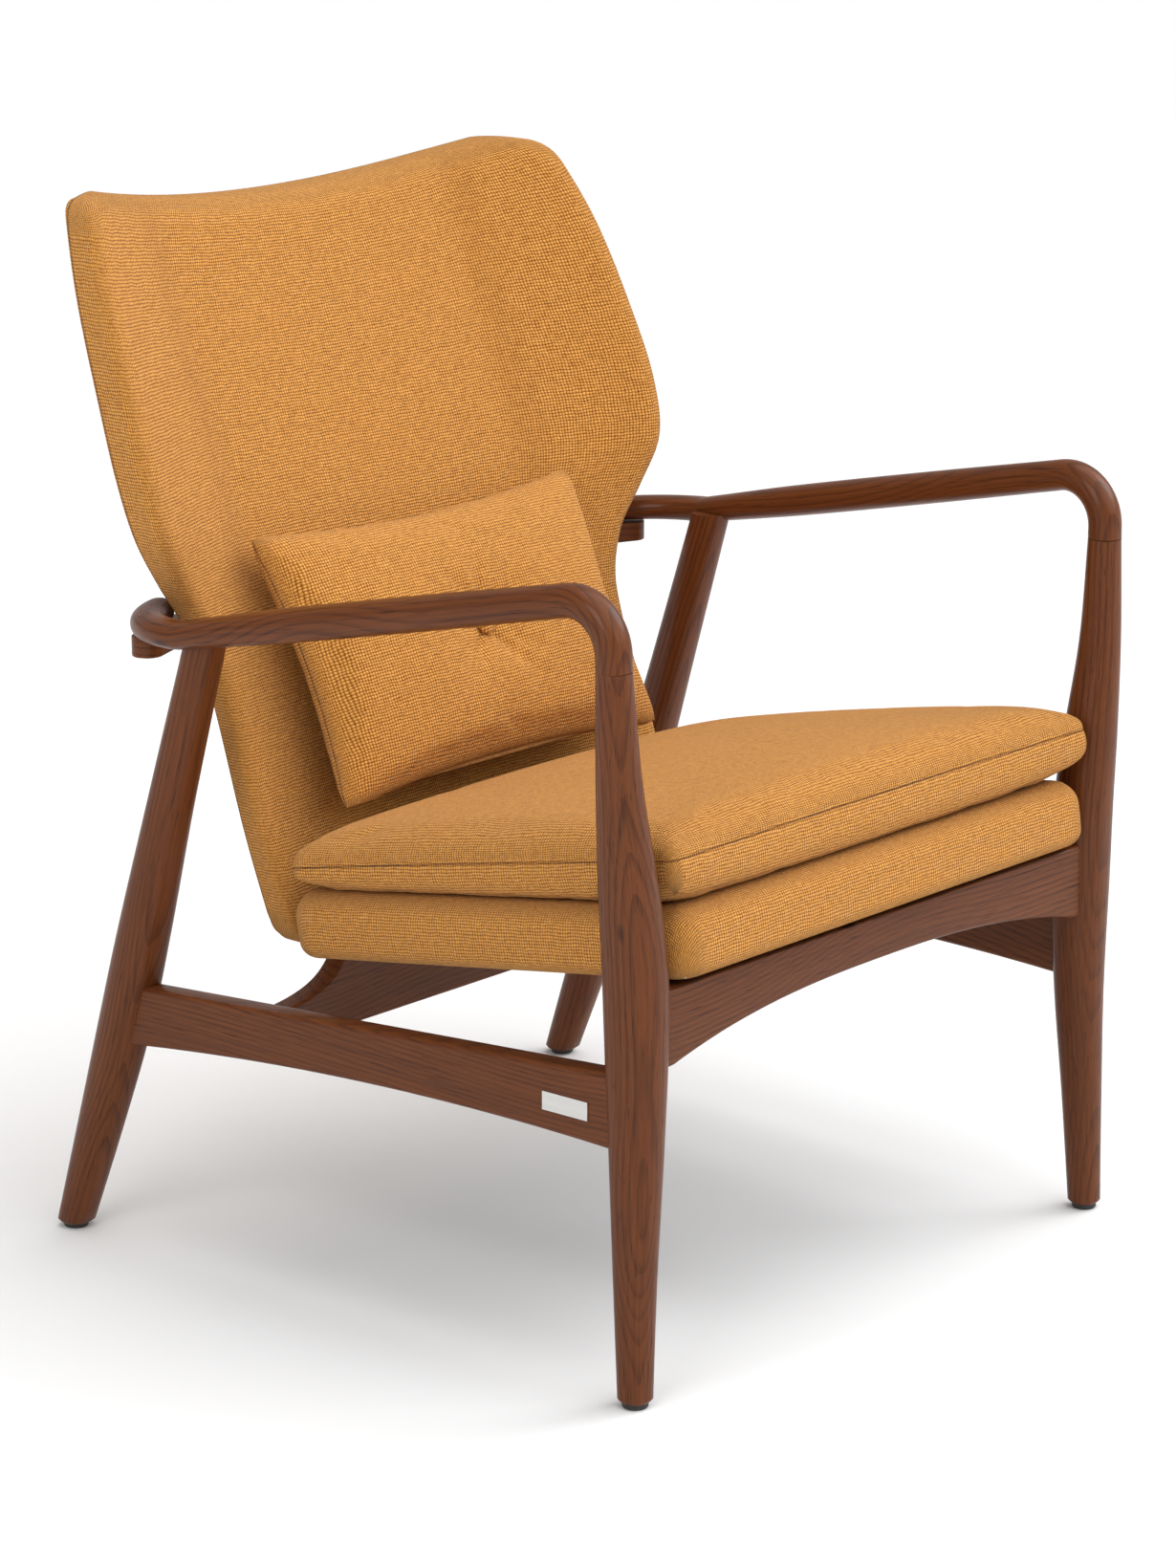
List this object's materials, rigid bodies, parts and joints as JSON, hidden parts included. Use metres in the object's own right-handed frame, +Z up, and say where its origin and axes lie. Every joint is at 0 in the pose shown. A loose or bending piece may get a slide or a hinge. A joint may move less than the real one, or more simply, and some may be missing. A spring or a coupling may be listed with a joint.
{
  "type": "wooden lounge armchair",
  "caption": "Low wooden lounge armchair with bent armrests, a winged upholstered back, a loose seat cushion and a buttoned lumbar pillow.",
  "frame": {"origin": "on the floor, at the middle of the chair's width and depth", "axes": "+Z up, the chair faces -Y, the sitter's right hand is towards -X"},
  "size_m": [0.6828, 0.7144, 0.8687],
  "materials": {
    "stained_wood": "walnut-stained hardwood under satin lacquer, open grain",
    "ochre_fabric": "ochre basket weave in thick matt yarn",
    "foam": "cut polyurethane foam and fibre wrap",
    "raw_beech": "unfinished beech and birch plywood, inside the upholstery",
    "webbing": "woven elastic seat webbing",
    "lining": "thin black non-woven dust cover",
    "dark_nylon": "dark nylon glide",
    "zip_tape": "nylon zip in the seam",
    "screw_steel": "zinc-plated steel",
    "plate_metal": "blank satin metal plate"
  },
  "bodies": {
    "frame": {"back_cover": "ochre_fabric", "back_cross_rail": "stained_wood", "back_foam": "foam", "back_rear_panel": "ochre_fabric", "back_shell": "raw_beech", "deck_cover": "ochre_fabric", "deck_foam": "foam", "deck_front_bar": "raw_beech", "deck_left_bar": "raw_beech", "deck_rear_bar": "raw_beech", "deck_right_bar": "raw_beech", "dust_cover": "lining", "front_rail": "stained_wood", "label_plate": "plate_metal", "left_arm_screw": "screw_steel", "left_armrest": "stained_wood", "left_back_lower_screw": "screw_steel", "left_back_upper_screw": "screw_steel", "left_deck_front_screw": "screw_steel", "left_deck_rear_screw": "screw_steel", "left_front_arm_dowel": "raw_beech", "left_front_glide": "dark_nylon", "left_front_leg": "stained_wood", "left_rear_arm_dowel": "raw_beech", "left_rear_glide": "dark_nylon", "left_rear_leg": "stained_wood", "left_side_stretcher": "stained_wood", "rear_seat_rail": "stained_wood", "right_arm_screw": "screw_steel", "right_armrest": "stained_wood", "right_back_lower_screw": "screw_steel", "right_back_upper_screw": "screw_steel", "right_deck_front_screw": "screw_steel", "right_deck_rear_screw": "screw_steel", "right_front_arm_dowel": "raw_beech", "right_front_glide": "dark_nylon", "right_front_leg": "stained_wood", "right_rear_arm_dowel": "raw_beech", "right_rear_glide": "dark_nylon", "right_rear_leg": "stained_wood", "right_side_stretcher": "stained_wood", "webbing_strap_1": "webbing", "webbing_strap_2": "webbing", "webbing_strap_3": "webbing", "webbing_strap_4": "webbing", "webbing_strap_5": "webbing"},
    "seat_cushion": {"seat_cushion_cover": "ochre_fabric", "seat_cushion_core": "foam", "seat_cushion_zip": "zip_tape"},
    "lumbar_pillow": {"lumbar_pillow_cover": "ochre_fabric", "lumbar_pillow_core": "foam", "lumbar_pillow_zip": "zip_tape", "pillow_front_button": "ochre_fabric", "pillow_rear_button": "ochre_fabric"}
  },
  "joints": [
    {"name": "seat_cushion_lift", "type": "slide", "parent": "frame", "child": "seat_cushion", "axis": [0, -0.5, 0.866], "range_m": [0, 0.45]},
    {"name": "lumbar_pillow_lift", "type": "slide", "parent": "frame", "child": "lumbar_pillow", "axis": [0, 0, 1], "range_m": [0, 0.35]}
  ]
}
